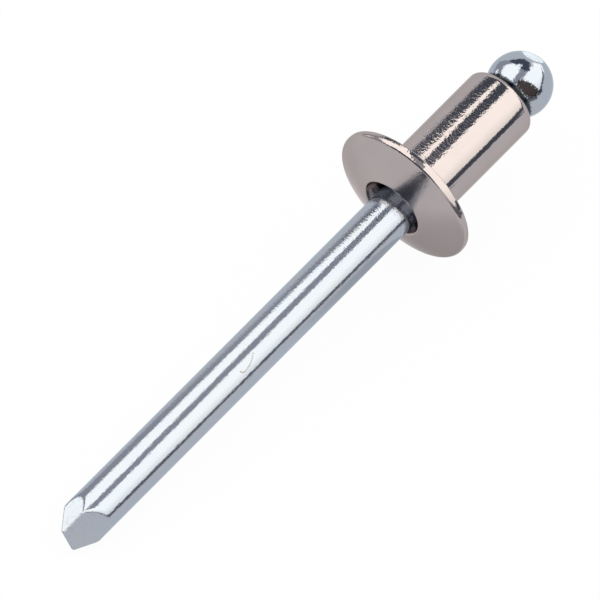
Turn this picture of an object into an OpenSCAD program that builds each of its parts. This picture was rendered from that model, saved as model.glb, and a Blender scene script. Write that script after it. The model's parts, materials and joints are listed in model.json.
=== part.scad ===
// Open-end blind rivet with a domed flange, not yet set.
// The sleeve and its flange are one cold-formed piece, and the mandrel is one headed piece of wire.
// The rivet lies on the rim of its flange and on a corner of its mandrel's point.
// Each piece is turned about its own axis, h, which starts at the flange's seat and grows towards the
// mandrel's head. The flange was formed a little off the sleeve's axis.
// Clock angles go round that axis, from the side that faces the ground.

/* [Sleeve] */
// Outside diameter of the sleeve
sleeve_d = 4.78; // [4:0.02:5.6]
// Thickness of the sleeve's wall
wall = 0.77; // [0.5:0.01:0.9]
// Length of the sleeve from the flange's seat to its end
sleeve_length = 8.94; // [6:0.02:16]
// Radius of the sleeve's outer end corner
end_radius = 0.5; // [0.1:0.05:0.6]
// Radial play between the mandrel and the bore
bore_play = 0.14; // [0.08:0.01:0.2]

/* [Flange] */
// Diameter of the flange
flange_d = 9.64; // [8:0.02:12]
// Height of the flange from its seat to the lip round its mouth
flange_height = 1.56; // [1.2:0.02:2.2]
// Radius of the rim's rounded shoulder
rim_radius = 0.45; // [0.3:0.01:0.6]
// Straight edge of the rim, between its shoulder and its back corner
rim_edge = 0.04; // [0.02:0.01:0.3]
// Radius of the rim's back corner, next to the seat
rim_back = 0.11; // [0.04:0.01:0.2]
// Distance by which the flange stands aside from the sleeve's axis
flange_aside = 0.15; // [0:0.01:0.2]
// Clock angle towards which it stands aside
flange_side = 138; // [0:1:359]
// How much further out than the bore the mouth opens
mouth_flare = 0.38; // [0.2:0.01:0.6]
// Radius of the rounded lip round the mouth
lip_radius = 0.15; // [0.06:0.01:0.25]
// Depth of the tapered mouth above the straight bore
mouth_depth = 0.8; // [0.3:0.05:1.2]
// Radius of the dome's shallow curve from the lip to the rim
dome_radius = 19; // [10:0.5:30]

/* [Mandrel] */
// Length of the shank from the flange's seat to the start of its point
shank_length = 29.7; // [20:0.1:36]
// Clock angle of the side of the bore that the mandrel lies against
lean_side = -5; // [-90:5:90]
// Gap left where the mandrel lies against the sleeve
touch_gap = 0.015; // [0.01:0.005:0.04]
// Diameter of the ball head
head_d = 4.12; // [3.8:0.02:4.4]
// Gap left between the ball and the sleeve's end
head_gap = 0.07; // [0.02:0.01:0.3]
// Depth of the flat on the ball's crown
crown_flat = 0.13; // [0.05:0.01:0.3]
// Angle of that flat away from the axis
crown_tilt = 46; // [20:1:60]
// Clock angle of that flat
crown_turn = 183; // [150:1:210]

/* [Break neck] */
// Distance of the break neck from the sleeve's end, inside the bore
neck_setback = 1.1; // [0.6:0.1:2]
// Depth of the neck's pinched notches
neck_depth = 0.43; // [0.2:0.01:0.6]
// Angle between a notch's two sides
notch_angle = 90; // [60:5:110]

/* [Point] */
// Length of the pinched point
point_length = 2.35; // [1.2:0.05:3]
// Clock angle of the point's first wide facet
point_turn = 62; // [0:1:90]
// Distance of the two wide facets from the axis at the point's end
wide_reach = 0.14; // [0.08:0.01:0.3]
// Distance of the sharper narrow facet from the axis at the point's end
sharp_reach = 0.58; // [0.4:0.02:0.8]
// Distance of the blunter narrow facet from the axis at the point's end
blunt_reach = 0.9; // [0.7:0.02:1.1]

/* [Hidden] */
foot_depth = 0.2;
round_steps = 96;
dome_steps = 360;
$fn = round_steps;

sleeve_r = sleeve_d / 2;
bore_r = sleeve_r - wall;
mouth_r = bore_r + mouth_flare;
mandrel_r = bore_r - bore_play;
flange_r = flange_d / 2;
head_r = head_d / 2;

// The mandrel lies against one side of the bore
shift = bore_play - touch_gap;
shift_x = shift * cos(lean_side);
shift_y = shift * sin(lean_side);

// The flange stands a little off the sleeve's axis
aside_x = flange_aside * cos(flange_side);
aside_y = flange_aside * sin(flange_side);

// The ball bears on the edge of the sleeve's end, on the side that the mandrel leans to
head_seat_r = bore_r - shift;
head_h = sleeve_length + sqrt(pow(head_r + head_gap, 2) - pow(head_seat_r, 2));

// The dome runs as one arc from the lip's circle to the rim's circle
rim_c = [flange_r - rim_radius, -rim_back - rim_edge];
back_c = [flange_r - rim_back, -rim_back];
lip_c = [mouth_r + lip_radius, -flange_height + lip_radius];
// An arc that touches both circles has its centre at these distances from theirs
to_rim = dome_radius - rim_radius;
to_lip = dome_radius - lip_radius;
span = norm(lip_c - rim_c);
along = (span * span + to_rim * to_rim - to_lip * to_lip) / (2 * span);
across = sqrt(to_rim * to_rim - along * along);
chord = (lip_c - rim_c) / span;
dome_c = rim_c + along * chord + across * [chord[1], -chord[0]];

// The point's corner that touches the ground is where its blunt facet, a wide facet and the round
// shank meet. Its clock angle comes from the shares of the two facets' slopes.
blunt_share = mandrel_r / (mandrel_r - blunt_reach);
wide_share = mandrel_r / (mandrel_r - wide_reach);
both_shares = norm([blunt_share, wide_share]);
from_blunt = acos((blunt_share - wide_share) / both_shares) - atan(wide_share / blunt_share);
corner_clock = point_turn - 90 + from_blunt;
corner_rise = point_length * (mandrel_r * cos(from_blunt) - blunt_reach) / (mandrel_r - blunt_reach);
corner_back = shank_length + point_length - corner_rise;
corner_low = mandrel_r * cos(corner_clock) + shift_x;

// The rivet's axis leans by the angle at which rim and corner both touch the ground
drop = aside_x + rim_c[0] - corner_low;
run = corner_back + rim_c[1];
lean = atan(drop / run) + asin(rim_radius / norm([run, drop]));

// Lays a piece that stands along +Z down, its head end raised by the lean
module lay() {
    rotate([0, 90 - lean, 0]) children();
}

// The point at distance d from a circle's centre, straight out towards the dome's surface
function dome_edge(c, d) = c + d * (c - dome_c) / norm(c - dome_c);

// Outline of the flange from its own axis out to the rim, with its seat at 0 and its dome below it
module flange_outline() {
    // The mouth's taper runs on inside the bore, so that the bore meets it all round
    taper = mouth_flare / (mouth_depth - lip_radius);
    floor_r = bore_r - 2 * flange_aside;
    floor_h = lip_c[1] + (mouth_r - floor_r) / taper;
    intersection() {
        translate(dome_c) circle(dome_radius, $fn = dome_steps);
        polygon([
            [0, 0],
            [back_c[0], 0],
            back_c,
            [flange_r, back_c[1]],
            [flange_r, rim_c[1]],
            rim_c,
            dome_edge(rim_c, 2 * rim_radius),
            dome_edge(lip_c, 2 * rim_radius),
            lip_c,
            [mouth_r, lip_c[1]],
            [floor_r, floor_h],
            [0, floor_h]
        ]);
    }
    translate(back_c) circle(rim_back);
    difference() {
        translate(rim_c) circle(rim_radius);
        // Only the shoulder's half below the straight edge is kept
        translate([0, rim_c[1]]) square([2 * flange_r, rim_radius]);
    }
    translate(lip_c) circle(lip_radius);
}

// Outline of the sleeve from its foot inside the flange to its end, with its outer corner rounded
module sleeve_outline() {
    translate([0, -foot_depth]) {
        square([sleeve_r, foot_depth + sleeve_length - end_radius]);
        square([sleeve_r - end_radius, foot_depth + sleeve_length]);
    }
    translate([sleeve_r - end_radius, sleeve_length - end_radius]) circle(end_radius);
}

// Sleeve and domed flange, one piece bored through
module rivet_body() {
    color([0.66, 0.61, 0.60])
    lay()
    difference() {
        union() {
            rotate_extrude() sleeve_outline();
            translate([aside_x, aside_y, 0]) rotate_extrude() flange_outline();
        }
        translate([0, 0, -2 * flange_height])
            cylinder(r = bore_r, h = 2 * flange_height + sleeve_length + end_radius);
    }
}

// Half-space whose face is at distance near from the axis at height low, and at far a rise above it
module slope_cutter(low, near, rise, far, clock) {
    slant = atan((far - near) / rise);
    size = 6 * mandrel_r;
    rotate([0, 0, clock])
    translate([near, 0, low])
    rotate([0, slant, 0])
    translate([0, -size / 2, -size / 2])
    cube(size);
}

// Four facets of the pinched point, the wide ones at the first and third clock angle
module point_cutters() {
    ends = [wide_reach, sharp_reach, wide_reach, blunt_reach];
    for (i = [0:3])
        slope_cutter(-shank_length - point_length, ends[i], point_length, mandrel_r,
                     point_turn + 90 * i);
}

// Four notches pinched into the shank, where the mandrel snaps when the rivet is set
module neck_cutters() {
    open_r = mandrel_r - neck_depth + mandrel_r;
    half = mandrel_r * tan(notch_angle / 2);
    for (i = [0:3])
        rotate([0, 0, point_turn + 90 * i])
        translate([0, 0, sleeve_length - neck_setback])
        rotate([90, 0, 0])
        linear_extrude(4 * mandrel_r, center = true)
        polygon([[mandrel_r - neck_depth, 0], [open_r, half], [open_r, -half]]);
}

// Flat struck on the ball's crown
module crown_cutter() {
    translate([0, 0, head_h])
    rotate([0, 0, crown_turn])
    rotate([0, crown_tilt, 0])
    translate([-head_d / 2, -head_d / 2, head_r - crown_flat])
    cube(head_d);
}

// Mandrel: ball head, break neck, shank and pinched point
module mandrel() {
    color([0.62, 0.66, 0.70])
    lay()
    translate([shift_x, shift_y, 0])
    difference() {
        union() {
            translate([0, 0, -shank_length - point_length])
                cylinder(r = mandrel_r, h = shank_length + point_length + head_h);
            translate([0, 0, head_h]) sphere(head_r);
        }
        point_cutters();
        neck_cutters();
        crown_cutter();
    }
}

rivet_body();
mandrel();
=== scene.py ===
"""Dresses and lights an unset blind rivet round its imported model.

The rivet has two pieces of metal. The body is a sleeve with a domed flange, plated in bright nickel,
and the mandrel is a zinc-plated wire with a ball head and a pinched point. Both are turned about
axes that lean a little, because the rivet lies on its flange's rim and on its mandrel's point.
Lengths are in metres. Each piece is built upright, with its axis along Z, and then laid down.
"""

import json
import logging
import math
from collections.abc import Iterable
from dataclasses import dataclass
from enum import Enum

import bmesh
import bpy
from mathutils import Matrix, Vector

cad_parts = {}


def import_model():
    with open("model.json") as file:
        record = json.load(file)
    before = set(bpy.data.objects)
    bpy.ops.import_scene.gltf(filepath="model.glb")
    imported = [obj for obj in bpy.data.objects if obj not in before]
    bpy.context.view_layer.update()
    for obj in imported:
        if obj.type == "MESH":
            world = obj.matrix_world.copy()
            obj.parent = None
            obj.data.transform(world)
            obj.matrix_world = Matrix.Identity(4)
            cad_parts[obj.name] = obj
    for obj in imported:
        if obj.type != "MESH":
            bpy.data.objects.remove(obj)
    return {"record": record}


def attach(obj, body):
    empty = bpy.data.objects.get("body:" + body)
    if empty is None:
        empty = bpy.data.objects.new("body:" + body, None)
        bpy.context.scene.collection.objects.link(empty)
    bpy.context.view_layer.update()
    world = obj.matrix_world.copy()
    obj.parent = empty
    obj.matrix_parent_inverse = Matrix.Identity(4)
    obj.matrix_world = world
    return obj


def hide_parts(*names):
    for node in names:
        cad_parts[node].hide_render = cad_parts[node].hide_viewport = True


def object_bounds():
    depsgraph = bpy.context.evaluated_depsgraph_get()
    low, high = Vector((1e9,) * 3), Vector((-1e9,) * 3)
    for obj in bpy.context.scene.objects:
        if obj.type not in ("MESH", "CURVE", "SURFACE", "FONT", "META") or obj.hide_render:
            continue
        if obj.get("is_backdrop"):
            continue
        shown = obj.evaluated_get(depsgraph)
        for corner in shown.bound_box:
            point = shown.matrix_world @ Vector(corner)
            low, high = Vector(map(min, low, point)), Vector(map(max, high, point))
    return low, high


MM = 0.001
WHITE = (1.0, 1.0, 1.0, 1.0)
LOG = logging.getLogger("rivet")


class Slot(Enum):
    """The record's material slots."""

    NICKEL = "bright_nickel"
    ZINC = "zinc_plate"


class Side(Enum):
    """What a studio card does to the metal's reflections."""

    BRIGHT = (2.32, 2.27, 2.1, 1.0)
    PALE = (1.0, 1.0, 1.0, 1.0)
    DIM = (0.56, 0.56, 0.6, 1.0)
    DUSK = (0.24, 0.24, 0.27, 1.0)
    DARK = (0.11, 0.13, 0.17, 1.0)


# Shader maths


class Value:
    """A socket that Python operators can work on: each operator adds its Math node."""

    def __init__(self, shader: "Shader", socket: bpy.types.NodeSocket) -> None:
        """Wraps a socket of a shader's node."""
        self.shader = shader
        self.socket = socket

    def _join(self, operation: str, first: "Value | float", second: "Value | float") -> "Value":
        """Adds a Math node.

        Args:
            operation: The Math node's operation.
            first: Its first number.
            second: Its second number.

        Returns:
            The node's result.
        """
        return self.shader.math(operation, first, second)

    def __add__(self, other: "Value | float") -> "Value":
        """Adds a number."""
        return self._join("ADD", self, other)

    __radd__ = __add__

    def __mul__(self, other: "Value | float") -> "Value":
        """Multiplies by a number."""
        return self._join("MULTIPLY", self, other)

    __rmul__ = __mul__

    def __rsub__(self, other: float) -> "Value":
        """Takes this away from a number."""
        return self._join("SUBTRACT", other, self)


@dataclass(frozen=True)
class Pattern:
    """Noise in a finish: its scale per millimetre, its detail and the detail's roughness."""

    scale: float
    detail: float
    rough: float


class Shader:
    """Builds one node material, or one world, by name."""

    def __init__(self, tree: bpy.types.NodeTree) -> None:
        """Empties a node tree and starts in it."""
        self.tree = tree
        tree.nodes.clear()

    def node(
        self, kind: str, settings: dict[str, object] | None = None, **inputs: object
    ) -> bpy.types.Node:
        """Adds a node.

        Args:
            kind: The node's type, without its ShaderNode prefix.
            settings: Properties of the node, set before its sockets.
            inputs: Values or links of its sockets, by name with _ for a space.

        Returns:
            The new node.
        """
        new = self.tree.nodes.new("ShaderNode" + kind)
        for name, setting in (settings or {}).items():
            setattr(new, name, setting)
        for name, value in inputs.items():
            self.feed(new.inputs[name.replace("_", " ")], value)
        return new

    def feed(self, socket: bpy.types.NodeSocket, value: object) -> None:
        """Links a value or socket to a socket, or sets the socket's own value."""
        if isinstance(value, Value):
            self.tree.links.new(value.socket, socket)
        elif isinstance(value, bpy.types.NodeSocket):
            self.tree.links.new(value, socket)
        else:
            socket.default_value = value

    def math(self, operation: str, first: Value | float, second: Value | float) -> Value:
        """Adds a Math node on two numbers and gives its result."""
        new = self.node("Math", {"operation": operation})
        self.feed(new.inputs[0], first)
        self.feed(new.inputs[1], second)
        return Value(self, new.outputs[0])

    def ramp(self, value: Value, low: float, high: float) -> Value:
        """Gives 0 where a value is under low, 1 where it is over high, and a smooth rise between."""
        new = self.node(
            "MapRange",
            {"interpolation_type": "SMOOTHSTEP"},
            Value=value,
            From_Min=low,
            From_Max=high,
        )
        return Value(self, new.outputs["Result"])

    def mix(self, factor: Value, first: object, second: object) -> bpy.types.NodeSocket:
        """Mixes two colours by a factor and gives the mixed colour."""
        # The node's colours have inputs 6 and 7, and output 2
        new = self.node("Mix", {"data_type": "RGBA"})
        self.feed(new.inputs[0], factor)
        self.feed(new.inputs[6], first)
        self.feed(new.inputs[7], second)
        return new.outputs[2]

    def along(self, laid: "Laid", share: float = 1.0) -> bpy.types.NodeSocket:
        """Gives object coordinates in millimetres: along the rivet, aside and up from its axis.

        Args:
            laid: The axis that the piece lies along.
            share: What the first coordinate is multiplied by, to draw a pattern out.

        Returns:
            The vector for a pattern.
        """
        where = self.node("TexCoord").outputs["Object"]
        turned = self.node(
            "Mapping", {"vector_type": "POINT"}, Vector=where, Rotation=(0.0, laid.lean, 0.0)
        )
        scaled = self.node(
            "Mapping",
            {"vector_type": "POINT"},
            Vector=turned.outputs[0],
            Scale=(share / MM, 1.0 / MM, 1.0 / MM),
        )
        return scaled.outputs[0]

    def speckle(self, vector: bpy.types.NodeSocket, pattern: Pattern) -> Value:
        """Gives a pattern's noise, from 0 to 1, over a vector."""
        new = self.node(
            "TexNoise",
            Vector=vector,
            Scale=pattern.scale,
            Detail=pattern.detail,
            Roughness=pattern.rough,
        )
        return Value(self, new.outputs["Fac"])


# The drawing lines, and how far they are drawn out along the rivet
LINES = Pattern(12.0, 2.0, 0.5)
LINES_SHARE = 0.25
# The clouds that stain the plating, and the waves of its surface
CLOUD = Pattern(0.55, 3.0, 0.55)
WAVE = Pattern(0.9, 1.0, 0.4)
# Between these values the clouds turn from colour to stain, and clouds with a share of grain
# turn from gloss to dull
STAIN_RANGE = (0.35, 0.75)
DULL_RANGE = (0.4, 1.0)
DULL_GRAIN = 0.3
# Share of the grain's height that stays where a finish is calm
CALM_GRAIN = 0.3
# Widths in millimetres over which calm ends, along the rivet and aside
END_FADE = 0.3
SIDE_FADE = 0.7
# Below every place on the rivet, so that nothing is calm
NOWHERE = -100.0
# Shares of a mark's raggedness between which the mark fades out
MARK_FADE = (0.3, 0.75)


@dataclass(frozen=True)
class Mark:
    """A spot of another colour, placed in millimetres along the rivet, aside and up from its axis.

    Its radius wanders with the grain, by about its raggedness.
    """

    place: tuple[float, float, float]
    radius: float
    ragged: float
    colour: tuple[float, float, float]


@dataclass(frozen=True)
class Metal:
    """A plated metal finish: its colour, its gloss and the grain that breaks up its reflections.

    Up to calm_end, in millimetres along the rivet, the grain is finer and the gloss is softer.
    Up to calm_side, in millimetres aside of its axis, the grain is finer too.
    """

    slot: Slot
    colour: tuple[float, float, float]
    stain: tuple[float, float, float]
    edge: tuple[float, float, float]
    roughness: float
    roughness_play: float
    grain_size: float
    grain_height: float
    draw_height: float
    wave_height: float
    calm_end: float = NOWHERE
    calm_roughness: float = 0.08
    calm_side: float = NOWHERE
    marks: tuple[Mark, ...] = ()

    def make(self, laid: "Laid") -> bpy.types.Material:
        """Builds the material.

        Args:
            laid: The axis that its drawing lines run along.

        Returns:
            The node material.
        """
        material = bpy.data.materials.new(self.slot.value)
        material.use_nodes = True
        shader = Shader(material.node_tree)
        even = shader.along(laid)

        grain = shader.speckle(even, Pattern(1.0 / self.grain_size, 1.0, 0.5))
        lines = shader.speckle(shader.along(laid, LINES_SHARE), LINES)
        cloud = shader.speckle(even, CLOUD)
        wave = shader.speckle(even, WAVE)

        tint = shader.ramp(cloud, *STAIN_RANGE)
        colour = shader.mix(tint, (*self.colour, 1.0), (*self.stain, 1.0))
        for mark in self.marks:
            away = shader.node("VectorMath", {"operation": "DISTANCE"})
            shader.feed(away.inputs[0], even)
            shader.feed(away.inputs[1], mark.place)
            ragged = Value(shader, away.outputs["Value"]) + mark.ragged * grain
            near, far = (mark.radius + share * mark.ragged for share in MARK_FADE)
            spot = shader.ramp(ragged, far, near)
            colour = shader.mix(spot, colour, (*mark.colour, 1.0))
        place = shader.node("SeparateXYZ", Vector=even).outputs
        past_end = shader.ramp(Value(shader, place["X"]), self.calm_end - END_FADE, self.calm_end)
        past_side = shader.ramp(
            Value(shader, place["Y"]), self.calm_side - SIDE_FADE, self.calm_side
        )
        dull = shader.ramp(cloud + DULL_GRAIN * grain, *DULL_RANGE)
        rough = dull * self.roughness_play + self.roughness
        rough = rough + self.calm_roughness * (1 - past_end)

        lively = CALM_GRAIN + (1 - CALM_GRAIN) * past_end * past_side
        height = grain * self.grain_height * lively
        height = height + lines * self.draw_height + wave * self.wave_height
        bump = shader.node("Bump", Strength=1.0, Distance=MM, Height=height)
        metal = shader.node(
            "BsdfPrincipled",
            Base_Color=colour,
            Metallic=1.0,
            Specular_Tint=(*self.edge, 1.0),
            Roughness=rough,
            Normal=bump.outputs["Normal"],
        )
        shader.node("OutputMaterial", Surface=metal.outputs["BSDF"])
        return material


# Colour of dark blotches on the ball, on its side towards the sleeve
DARK_BLOTCH = (0.024, 0.020, 0.022)
# Painted shade on the ball's underside, where it faces the sleeve's end
UNDER_BALL_SHADE = (0.035, 0.046, 0.055)
SCRATCH = (0.27, 0.255, 0.26)
SCRATCH_LINE = (
    (-15.47, -0.78, 1.14), (-15.61, -0.86, 1.09), (-15.75, -0.93, 1.04), (-15.9, -0.99, 0.99),
    (-16.05, -1.04, 0.94), (-16.2, -1.07, 0.91), (-16.35, -1.09, 0.89), (-16.49, -1.11, 0.87),
    (-16.63, -1.12, 0.86), (-16.74, -1.1, 0.88), (-16.83, -1.06, 0.92), (-16.88, -0.99, 0.98),
)
NICKEL = Metal(
    slot=Slot.NICKEL,
    colour=(0.410, 0.366, 0.366),
    stain=(0.392, 0.352, 0.356),
    edge=(0.70, 0.66, 0.66),
    roughness=0.06,
    roughness_play=0.05,
    grain_size=0.135,
    grain_height=0.01,
    draw_height=0.0008,
    wave_height=0.004,
    calm_end=-0.5,
    calm_side=-1.2,
)
ZINC = Metal(
    slot=Slot.ZINC,
    colour=(0.375, 0.410, 0.468),
    stain=(0.388, 0.412, 0.455),
    edge=(0.75, 0.80, 0.85),
    roughness=0.06,
    roughness_play=0.05,
    grain_size=0.12,
    grain_height=0.0055,
    draw_height=0.0045,
    wave_height=0.003,
    calm_side=-0.7,
    marks=(
        # Painted shade: a sphere round the axis darkens the ball's underside next to the sleeve's
        # end
        Mark((8.4, -0.01, -0.12), 2.04, 0.25, UNDER_BALL_SHADE),
        # Dark blotches on the ball, on its side towards the sleeve
        Mark((9.66, -0.98, 1.5), 0.28, 0.4, DARK_BLOTCH),
        Mark((9.72, -1.3, 1.3), 0.4, 0.4, DARK_BLOTCH),
        Mark((9.8, -1.52, 1.08), 0.4, 0.4, DARK_BLOTCH),
        Mark((10.0, -1.7, 0.94), 0.26, 0.4, DARK_BLOTCH),
        *(Mark(place, 0.058, 0.06, SCRATCH) for place in SCRATCH_LINE),
    ),
)


# Placing and shaping

# Points nearer to each other than this are merged
SAME_POINT = 1e-7
# A point nearer to the axis than this is on it
ON_AXIS = 1e-9


@dataclass(frozen=True)
class Laid:
    """The rivet's lean, and where an axis along it passes."""

    lean: float
    through: Vector

    def matrix(self) -> Matrix:
        """Gives the turn and shift that lay an upright piece down along the axis."""
        turn = Matrix.Rotation(math.pi / 2 - self.lean, 4, "Y")
        return Matrix.Translation(self.through) @ turn


def arc(
    centre: tuple[float, float], radius: float, start: float, end: float, steps: int
) -> list[tuple[float, float]]:
    """Gives points on an arc in a profile.

    Args:
        centre: The arc's centre, as distance from the axis and height.
        radius: Its radius.
        start: Its first angle in degrees, from straight out, towards higher.
        end: Its last angle.
        steps: How many stretches it has.

    Returns:
        The points, as distances from the axis and heights.
    """
    turn = [math.radians(start + (end - start) * i / steps) for i in range(steps + 1)]
    return [(centre[0] + radius * math.cos(a), centre[1] + radius * math.sin(a)) for a in turn]


def run(
    start: tuple[float, float], end: tuple[float, float], steps: int
) -> list[tuple[float, float]]:
    """Gives evenly spaced points between two, without the two."""
    return [
        tuple(a + (b - a) * i / steps for a, b in zip(start, end, strict=True))
        for i in range(1, steps)
    ]


def turned(profile: list[tuple[float, float]], closed: bool, steps: int) -> bmesh.types.BMesh:
    """Spins a profile round the upright axis.

    Args:
        profile: Points as distances from the axis and heights.
        closed: Whether the last point joins the first.
        steps: How many stretches go round the axis.

    Returns:
        The mesh, with its poles closed and its faces outwards.
    """
    mesh = bmesh.new()
    points = [mesh.verts.new((r, 0.0, h)) for r, h in profile]
    pairs = list(zip(points, points[1:], strict=False))
    if closed:
        pairs.append((points[-1], points[0]))
    edges = [mesh.edges.new(pair) for pair in pairs]
    bmesh.ops.spin(
        mesh,
        geom=points + edges,
        cent=(0.0, 0.0, 0.0),
        axis=(0.0, 0.0, 1.0),
        angle=2 * math.pi,
        steps=steps,
        use_merge=True,
    )
    bmesh.ops.remove_doubles(mesh, verts=mesh.verts, dist=SAME_POINT)
    bmesh.ops.recalc_face_normals(mesh, faces=mesh.faces)
    return mesh


def finished(
    mesh: bmesh.types.BMesh, name: str, laid: Laid, sharp: float, material: bpy.types.Material
) -> bpy.types.Object:
    """Lays an upright mesh down and makes it an object.

    Args:
        mesh: The upright mesh, which is freed.
        name: The piece's name.
        laid: The axis that it lies along.
        sharp: The angle in degrees from which an edge stays sharp.
        material: Its material.

    Returns:
        The object, at the origin, with its place in its mesh.
    """
    bmesh.ops.transform(mesh, matrix=laid.matrix(), verts=mesh.verts)
    data = bpy.data.meshes.new(name)
    mesh.to_mesh(data)
    mesh.free()
    data.shade_smooth()
    data.set_sharp_from_angle(angle=math.radians(sharp))
    data.materials.append(material)
    piece = bpy.data.objects.new(name, data)
    bpy.context.scene.collection.objects.link(piece)
    return piece


def soft_least(values: Iterable[float], blend: float) -> float:
    """Gives the least of some values, rounded off where two of them are within a blend."""
    ordered = sorted(values)
    least = ordered[0]
    for value in ordered[1:]:
        overlap = max(blend - abs(value - least), 0.0) / blend
        least = min(value, least) - overlap * overlap * blend / 4
    return least


@dataclass(frozen=True)
class Body:
    """The sleeve and its domed flange.

    The rim's corner is fuller here than in the solid, and the flange's radius is a little less, so
    that the rim stays inside the solid's box. Points further than flange_from out of the sleeve
    belong to the flange, and points within same_height of the throat to the throat.
    """

    laid: Laid
    sleeve_r: float
    sleeve_length: float = 8.94 * MM
    bore_r: float = 1.62 * MM
    end_radius: float = 0.5 * MM
    flange_r: float = 4.807 * MM
    flange_height: float = 1.56 * MM
    flange_aside: float = 0.15 * MM
    flange_side: float = 138.0
    rim_radius: float = 0.33 * MM
    rim_edge: float = 0.16 * MM
    rim_back: float = 0.11 * MM
    mouth_flare: float = 0.38 * MM
    lip_radius: float = 0.15 * MM
    mouth_depth: float = 0.8 * MM
    dome_radius: float = 19.0 * MM
    bore_chamfer: float = 0.1 * MM
    seat_fillet: float = 0.04 * MM
    flange_from: float = 0.05 * MM
    same_height: float = 0.001 * MM
    sharp: float = 40.0
    steps: int = 288

    def profile(self) -> list[tuple[float, float]]:
        """Gives the outline, from the bore's far end round the sleeve and flange to the mouth."""
        rim = (self.flange_r - self.rim_radius, -self.rim_back - self.rim_edge)
        back = (self.flange_r - self.rim_back, -self.rim_back)
        mouth_r = self.bore_r + self.mouth_flare
        lip = (mouth_r + self.lip_radius, -self.flange_height + self.lip_radius)
        throat = (self.bore_r, self.mouth_depth - self.flange_height)
        dome, rim_turn, lip_turn = self.dome_arc(rim, lip)
        corner = self.sleeve_length - self.end_radius
        fillet = (self.sleeve_r + self.seat_fillet, self.seat_fillet)
        return [
            (self.bore_r, self.sleeve_length - self.bore_chamfer),
            (self.bore_r + self.bore_chamfer, self.sleeve_length),
            *arc((self.sleeve_r - self.end_radius, corner), self.end_radius, 90, 0, 10),
            *run((self.sleeve_r, corner), (self.sleeve_r, self.seat_fillet), 8),
            *arc(fillet, self.seat_fillet, 180, 270, 4),
            *arc(back, self.rim_back, 90, 0, 8),
            *arc(rim, self.rim_radius, 0, rim_turn, 20),
            *arc(dome, self.dome_radius, rim_turn, lip_turn, 16)[1:-1],
            *arc(lip, self.lip_radius, lip_turn, -180, 10),
            *run((mouth_r, lip[1]), throat, 4),
            throat,
        ]

    def dome_arc(
        self, rim: tuple[float, float], lip: tuple[float, float]
    ) -> tuple[tuple[float, float], float, float]:
        """Finds the dome's arc, which touches the rim's circle and the lip's circle.

        Args:
            rim: The centre of the rim's circle.
            lip: The centre of the lip's circle.

        Returns:
            The arc's centre, and the angles in degrees at which it meets the rim and the lip.
        """
        to_rim = self.dome_radius - self.rim_radius
        to_lip = self.dome_radius - self.lip_radius
        across = Vector((lip[0] - rim[0], lip[1] - rim[1]))
        span = across.length
        along = (span * span + to_rim * to_rim - to_lip * to_lip) / (2 * span)
        aside = math.sqrt(to_rim * to_rim - along * along)
        way = across / span
        centre = Vector(rim) + along * way + aside * Vector((way[1], -way[0]))
        turns = [
            math.degrees(math.atan2(point[1] - centre[1], point[0] - centre[0]))
            for point in (rim, lip)
        ]
        return tuple(centre), turns[0], turns[1]

    def build(self, material: bpy.types.Material) -> bpy.types.Object:
        """Builds the body in its finish, its flange set a little aside."""
        mesh = turned(self.profile(), True, self.steps)
        side = math.radians(self.flange_side)
        aside = Vector((math.cos(side), math.sin(side), 0.0)) * self.flange_aside
        throat_h = self.mouth_depth - self.flange_height
        taper = self.mouth_flare / (self.mouth_depth - self.lip_radius)
        # The flange moves aside, and the throat stays on the bore, along the taper that has moved
        for vert in mesh.verts:
            out = math.hypot(vert.co.x, vert.co.y)
            if abs(vert.co.z - throat_h) < self.same_height:
                vert.co.z -= ((vert.co - aside).xy.length - self.bore_r) / taper
            elif out > self.sleeve_r + self.flange_from or vert.co.z < throat_h:
                vert.co += aside
        return finished(mesh, "plated_body", self.laid, self.sharp, material)


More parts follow.
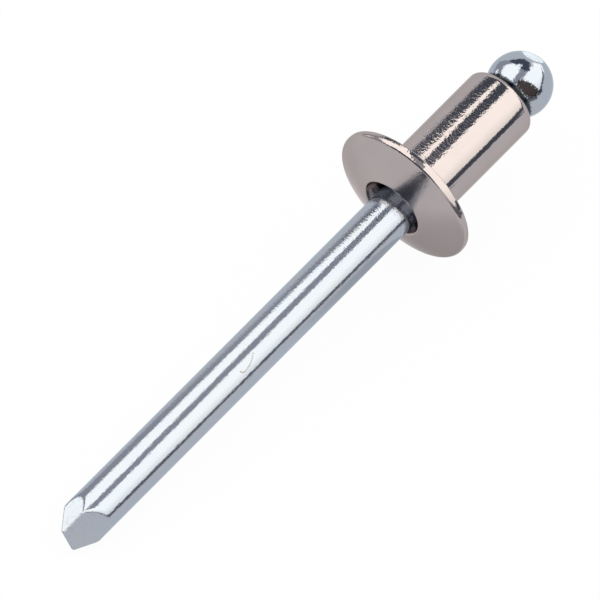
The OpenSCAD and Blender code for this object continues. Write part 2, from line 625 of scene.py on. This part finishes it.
@dataclass(frozen=True)
class Mandrel:
    """The headed wire with its break neck and pinched point.

    Beyond the point's start the shank is finely divided over fine_room, and can be pinched over
    pinch_room. A facet presses only on points that face it by more than least_facing.
    """

    laid: Laid
    shank_r: float
    head_h: float = 10.457 * MM
    neck_h: float = 7.84 * MM
    shank_length: float = 29.7 * MM
    head_r: float = 2.0585 * MM
    crown_flat: float = 0.13 * MM
    crown_tilt: float = 46.0
    crown_turn: float = 183.0
    neck_half: float = 1.05 * MM
    notch_angle: float = 90.0
    point_length: float = 2.35 * MM
    point_turn: float = 62.0
    point_reach: tuple[float, float, float, float] = (0.14 * MM, 0.58 * MM, 0.14 * MM, 0.9 * MM)
    pinch_room: float = 0.5 * MM
    fine_room: float = 0.6 * MM
    least_facing: float = 0.05
    blend: float = 0.1 * MM
    sharp: float = 30.0
    steps: int = 256

    def profile(self) -> list[tuple[float, float]]:
        """Gives the outline, from the point's end up the shank and over the ball."""
        low = -self.shank_length - self.point_length
        neck_room = self.shank_r - self.neck_half + self.blend
        shank = (self.shank_r, -self.shank_length + self.fine_room)
        under = math.degrees(math.asin(self.shank_r / self.head_r)) - 90
        ball = arc((0.0, self.head_h), self.head_r, under, 90, 48)
        neck = [(self.shank_r, self.neck_h - neck_room), (self.shank_r, self.neck_h + neck_room)]
        return [
            (0.0, low),
            *run((0.0, low), (self.shank_r, low), 10),
            (self.shank_r, low),
            *run((self.shank_r, low), shank, 44),
            shank,
            *run(shank, neck[0], 30),
            neck[0],
            *run(neck[0], neck[1], 24),
            neck[1],
            *ball[:-1],
            (0.0, self.head_h + self.head_r),
        ]

    def pinch(self, mesh: bmesh.types.BMesh) -> None:
        """Presses the point's four facets and the break neck's four notches into the shank."""
        clocks = [math.radians(self.point_turn + 90 * i) for i in range(4)]
        tip = -self.shank_length - self.point_length
        cot = 1 / math.tan(math.radians(self.notch_angle / 2))
        blend = self.blend / self.shank_r
        for vert in mesh.verts:
            out = math.hypot(vert.co.x, vert.co.y)
            near_neck = abs(vert.co.z - self.neck_h) < self.shank_r
            near_point = vert.co.z < -self.shank_length + self.pinch_room
            if out < ON_AXIS or not (near_point or near_neck):
                continue
            angle = math.atan2(vert.co.y, vert.co.x)
            walls = [1.0]
            for clock, reach in zip(clocks, self.point_reach, strict=True):
                facing = math.cos(angle - clock)
                if facing < self.least_facing:
                    continue
                if near_neck:
                    room = self.neck_half + abs(vert.co.z - self.neck_h) * cot
                else:
                    room = reach + (self.shank_r - reach) * (vert.co.z - tip) / self.point_length
                walls.append(room / facing / self.shank_r)
            fit = soft_least(walls, blend)
            vert.co.x *= fit
            vert.co.y *= fit

    def flatten_crown(self, mesh: bmesh.types.BMesh) -> None:
        """Strikes the flat on the ball's crown."""
        centre = Vector((0.0, 0.0, self.head_h))
        facing = Vector((0.0, 0.0, 1.0))
        facing.rotate(Matrix.Rotation(math.radians(self.crown_tilt), 3, "Y"))
        facing.rotate(Matrix.Rotation(math.radians(self.crown_turn), 3, "Z"))
        for vert in mesh.verts:
            over = (vert.co - centre).dot(facing) - (self.head_r - self.crown_flat)
            if over > 0:
                vert.co -= facing * over

    def build(self, material: bpy.types.Material) -> bpy.types.Object:
        """Builds the mandrel in its finish."""
        mesh = turned(self.profile(), False, self.steps)
        self.pinch(mesh)
        self.flatten_crown(mesh)
        return finished(mesh, "plated_mandrel", self.laid, self.sharp, material)


# The studio


@dataclass(frozen=True)
class View:
    """The photograph's view: how the camera looks at the rivet.

    The frame is the photograph's side in pixels, and the scale is in pixels per millimetre.
    """

    azimuth: float = 40.265
    elevation: float = 48.015
    roll: float = -0.555
    distance: float = 1.416
    frame: float = 600.0
    scale: float = 16.614
    origin_at: tuple[float, float] = (408.93, 193.84)
    sensor: float = 36.0
    clip: tuple[float, float] = (0.05, 20.0)

    def camera(self) -> bpy.types.Object:
        """Makes the camera that looks along the view, with the origin where the photo has it."""
        turn, rise = math.radians(self.azimuth), math.radians(self.elevation)
        ahead = Vector(
            (math.cos(rise) * math.cos(turn), math.cos(rise) * math.sin(turn), -math.sin(rise))
        )
        level = Vector((math.sin(turn), -math.cos(turn), 0.0))
        right = Matrix.Rotation(math.radians(-self.roll), 3, ahead) @ level
        above = right.cross(ahead)
        data = bpy.data.cameras.new("camera")
        data.sensor_width = self.sensor
        data.lens = self.sensor * self.distance / (self.frame / self.scale * MM)
        data.shift_x = 0.5 - self.origin_at[0] / self.frame
        data.shift_y = self.origin_at[1] / self.frame - 0.5
        data.clip_start, data.clip_end = (self.distance * share for share in self.clip)
        camera = bpy.data.objects.new("camera", data)
        camera.location = -ahead * self.distance
        camera.rotation_mode = "QUATERNION"
        camera.rotation_quaternion = Matrix((right, above, -ahead)).transposed().to_quaternion()
        bpy.context.scene.collection.objects.link(camera)
        bpy.context.scene.camera = camera
        return camera


# Planes that several cards share, in millimetres: the ceiling, the wall beside the rivet and,
# just over the floor, the ground
CEILING = 112
WALL = -50
GROUND = -4.6


def level(z: float, *corners: tuple[float, float]) -> tuple[tuple[float, float, float], ...]:
    """Gives corners at one height, from their places along and aside."""
    return tuple((x, y, z) for x, y in corners)


def beside(y: float, *corners: tuple[float, float]) -> tuple[tuple[float, float, float], ...]:
    """Gives corners in an upright plane beside the rivet, from their places along and heights."""
    return tuple((x, y, z) for x, z in corners)


def across(x: float, *corners: tuple[float, float]) -> tuple[tuple[float, float, float], ...]:
    """Gives corners in an upright plane across the rivet, from their places aside and heights."""
    return tuple((x, y, z) for y, z in corners)


@dataclass(frozen=True)
class Card:
    """A flat studio card that only reflections see, given by its corners in millimetres.

    Its light falls off to a share of its own towards a low place, over a range of distances from it
    that are measured along some axes only.
    """

    name: str
    side: Side
    corners: tuple[tuple[float, float, float], ...]
    low_share: float = 1.0
    low_place: tuple[float, float, float] = (0.0, 0.0, 0.0)
    low_axes: tuple[float, float, float] = (0.0, 0.0, 1.0)
    fade: tuple[float, float] = (0.0, 60.0)

    def build(self) -> bpy.types.Object:
        """Builds the card as a single face of plain light."""
        mesh = bmesh.new()
        mesh.faces.new([mesh.verts.new(Vector(corner) * MM) for corner in self.corners])
        data = bpy.data.meshes.new(self.name)
        mesh.to_mesh(data)
        mesh.free()
        material = bpy.data.materials.new(self.name)
        material.use_nodes = True
        shader = Shader(material.node_tree)
        where = shader.node("TexCoord").outputs["Object"]
        taken = shader.node("VectorMath", {"operation": "MULTIPLY"})
        shader.feed(taken.inputs[0], where)
        shader.feed(taken.inputs[1], self.low_axes)
        away = shader.node("VectorMath", {"operation": "DISTANCE"})
        shader.feed(away.inputs[0], taken.outputs[0])
        shader.feed(away.inputs[1], Vector(self.low_place) * Vector(self.low_axes) * MM)
        rise = shader.ramp(
            Value(shader, away.outputs["Value"]), self.fade[0] * MM, self.fade[1] * MM
        )
        low = tuple(part * self.low_share for part in self.side.value)
        colour = shader.mix(rise, low, self.side.value)
        light = shader.node("Emission", Color=colour, Strength=1.0)
        shader.node("OutputMaterial", Surface=light.outputs[0])
        data.materials.append(material)
        card = bpy.data.objects.new(self.name, data)
        bpy.context.scene.collection.objects.link(card)
        card.visible_camera = False
        card.visible_diffuse = False
        card.visible_shadow = False
        card.visible_transmission = False
        card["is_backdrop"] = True
        return card


@dataclass(frozen=True)
class Studio:
    """A white sweep under even light, with a softbox above, one beside, and dark gaps between."""

    floor_z: float
    floor_half: float = 3.0
    floor_glow: float = 0.95

    def cards(self) -> list[Card]:
        """Lists the cards that the metal mirrors."""
        return [
            Card(
                "ceiling_gap",
                Side.DARK,
                level(
                    CEILING, (40, -31), (43, -34), (80, -33), (150, 10), (163, 84), (107, 130),
                    (106, 190), (91, 190), (60, 110), (50, 80), (46, 58), (42, 30), (39, 9),
                ),
            ),
            Card(
                "ceiling_grey",
                Side.DIM,
                level(
                    CEILING, (-400, -46), (15, -45), (26, -43), (36, -40), (40, -34), (39, 9),
                    (42, 30), (46, 58), (50, 80), (60, 110), (91, 190), (114, 251), (114, 260),
                    (-400, 260),
                ),
            ),
            Card(
                "back_grey",
                Side.DIM,
                beside(
                    260, (-400, GROUND), (98, GROUND), (99, 40), (103, 70), (110, 95), (117, 117),
                    (117, 126), (-400, 126),
                ),
            ),
            Card(
                "overhead_softbox",
                Side.BRIGHT,
                level(
                    100, (-400, 0), (8.6, 2.5), (20, 11.5), (35, 14), (36, 19), (60, 19), (60, 42),
                    (42, 42), (42, 66), (41.5, 90), (40, 104), (35, 123), (20, 150), (-400, 200),
                ),
            ),
            Card(
                "side_softbox",
                Side.BRIGHT,
                ((-400, -90, 3), (-400, -55, 260), (400, -55, 260), (400, -78.2, 90),
                 (128, -86.7, 27), (63, -88.8, 12), (50, -90, 3)),
                low_share=0.76,
            ),
            Card(
                "back_softbox",
                Side.BRIGHT,
                beside(258, (-66, 30), (-20, 30), (-20, 78), (-66, 78)),
            ),
            Card(
                "crown_softbox",
                Side.BRIGHT,
                level(GROUND, (28, 6), (36, 6), (36, 13), (28, 13)),
            ),
            Card(
                "side_gap",
                Side.DARK,
                beside(
                    WALL, (21, GROUND), (21, 4.8), (30, 6.2), (42, 13), (80, 20.5), (400, 70),
                    (400, 55), (80, 13), (42, 5), (34, GROUND),
                ),
            ),
            Card(
                "side_dusk",
                Side.DUSK,
                beside(WALL, (-400, GROUND), (-400, -0.4), (21, -0.4), (21, GROUND)),
            ),
            Card(
                "floor_gap",
                Side.DARK,
                level(GROUND, (14, WALL), (34, WALL), (34, -36), (24, -35), (14, -31)),
            ),
            Card(
                "floor_dusk",
                Side.DUSK,
                level(
                    GROUND, (-27, WALL), (14, WALL), (12, -20), (4, -18.5), (-7, -17),
                    (-21, -11.5), (-27, -11),
                ),
            ),
            Card(
                "floor_shade",
                Side.PALE,
                level(-4.65, (-14, -14), (0, -14), (0, 7), (-14, 7)),
                low_share=0.74,
                low_place=(-1.5, -4.0, -4.65),
                low_axes=(1.0, 1.0, 1.0),
                fade=(2.0, 10.0),
            ),
            Card(
                "far_softbox",
                Side.BRIGHT,
                across(390, (-140, 20), (-140, 250), (30, 250), (12, 20)),
            ),
            Card(
                "end_gap",
                Side.DARK,
                across(-150, (-110, -6), (-110, 99), (110, 99), (110, -6)),
            ),
        ]

    def floor(self) -> bpy.types.Object:
        """Builds the white floor, which keeps the rivet's faint shadow."""
        mesh = bmesh.new()
        bmesh.ops.create_grid(mesh, x_segments=2, y_segments=2, size=self.floor_half)
        bmesh.ops.translate(mesh, vec=(0.0, 0.0, self.floor_z), verts=mesh.verts)
        data = bpy.data.meshes.new("floor")
        mesh.to_mesh(data)
        mesh.free()
        material = bpy.data.materials.new("floor")
        material.use_nodes = True
        shader = Shader(material.node_tree)
        matt = shader.node("BsdfDiffuse", Color=WHITE)
        glow = shader.node("Emission", Color=WHITE, Strength=1.0)
        both = shader.node("MixShader", Fac=self.floor_glow)
        shader.tree.links.new(matt.outputs[0], both.inputs[1])
        shader.tree.links.new(glow.outputs[0], both.inputs[2])
        shader.node("OutputMaterial", Surface=both.outputs[0])
        data.materials.append(material)
        floor = bpy.data.objects.new("floor", data)
        bpy.context.scene.collection.objects.link(floor)
        floor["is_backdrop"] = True
        return floor

    def world(self) -> None:
        """Sets an even white surround, which the camera and reflections see as white."""
        world = bpy.data.worlds.new("studio")
        world.use_nodes = True
        shader = Shader(world.node_tree)
        sky = shader.node("Background", Color=WHITE, Strength=1.0)
        shader.node("OutputWorld", Surface=sky.outputs[0])
        bpy.context.scene.world = world

    def build(self) -> None:
        """Builds the floor, the surround and the cards."""
        self.floor()
        self.world()
        for card in self.cards():
            card.build()


def mount(record: dict, name: str) -> dict:
    """Finds one of the record's mounts by name."""
    return next(entry for entry in record["mounts"] if entry["name"] == name)


def dress(piece: bpy.types.Object, node: str) -> None:
    """Makes a piece stand for a node, on the one body."""
    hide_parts(node)
    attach(piece, "root")
    LOG.info("%s stands for %s, %d faces", piece.name, node, len(piece.data.polygons))


def main() -> None:
    """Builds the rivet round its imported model, and the studio round the rivet."""
    logging.basicConfig(level=logging.INFO)
    bpy.context.scene.view_settings.view_transform = "Standard"
    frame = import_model()
    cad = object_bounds()
    record = frame["record"]
    sleeve = mount(record, "sleeve")
    shank = mount(record, "mandrel_shank")
    lean = math.atan2(sleeve["axis"][2], sleeve["axis"][0])
    body_axis = Laid(lean, Vector(sleeve["pos_m"]))
    along = Vector((math.cos(lean), 0.0, math.sin(lean)))
    shank_at = Vector(shank["pos_m"])
    wire_axis = Laid(lean, shank_at - along * shank_at.dot(along))

    body = Body(body_axis, sleeve["dims"]["r_mm"] * MM)
    dress(body.build(NICKEL.make(body_axis)), "rivet_body")
    wire = Mandrel(wire_axis, shank["dims"]["r_mm"] * MM)
    dress(wire.build(ZINC.make(wire_axis)), "mandrel")

    View().camera()
    Studio(floor_z=cad[0].z).build()


if __name__ == "__main__":
    main()
